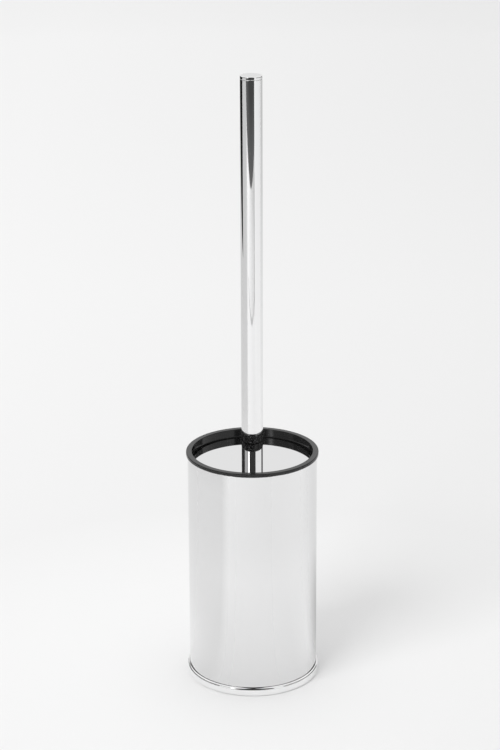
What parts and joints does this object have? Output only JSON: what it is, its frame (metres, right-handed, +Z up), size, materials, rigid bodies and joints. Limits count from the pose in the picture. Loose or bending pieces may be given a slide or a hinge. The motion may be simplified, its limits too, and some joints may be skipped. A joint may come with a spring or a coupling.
{
  "type": "toilet brush holder",
  "caption": "Free-standing round toilet brush holder with a lift-out liner cup and a long straight brush handle that carries a flat splash disc.",
  "frame": {"origin": "centre of the foot pad's underside, on the floor", "axes": "+Z up along the common axis of the tube, the liner and the handle"},
  "size_m": [0.0936, 0.0936, 0.429],
  "materials": {
    "chrome": "polished",
    "disc_chrome": "polished",
    "liner_plastic": "satin",
    "core_plastic": "satin",
    "bristle": "satin",
    "rubber": "matte",
    "iron": "matte",
    "steel": "satin",
    "brass": "satin"
  },
  "bodies": {
    "holder": {"outer_tube": "chrome", "base_ring": "chrome", "ballast_plate": "iron", "foot_pad": "rubber", "base_screw_1": "steel", "base_screw_2": "steel", "base_screw_3": "steel"},
    "liner": {"liner_cup": "liner_plastic"},
    "brush": {"splash_disc": "disc_chrome", "handle_tube": "chrome", "handle_end_cap": "chrome", "handle_insert": "brass", "disc_stud": "steel", "disc_gasket": "rubber", "disc_washer": "steel", "lock_nut": "steel", "head_insert": "brass", "head_core": "core_plastic", "bristle_row_1": "bristle", "bristle_row_2": "bristle", "bristle_row_3": "bristle", "bristle_row_4": "bristle", "bristle_row_5": "bristle", "bristle_row_6": "bristle", "bristle_end": "bristle"}
  },
  "joints": [
    {"name": "liner_lift", "type": "slide", "parent": "holder", "child": "liner", "axis": [0, 0, 1], "range_m": [0, 0.16]},
    {"name": "brush_lift", "type": "slide", "parent": "liner", "child": "brush", "axis": [0, 0, 1], "range_m": [0, 0.16]}
  ]
}
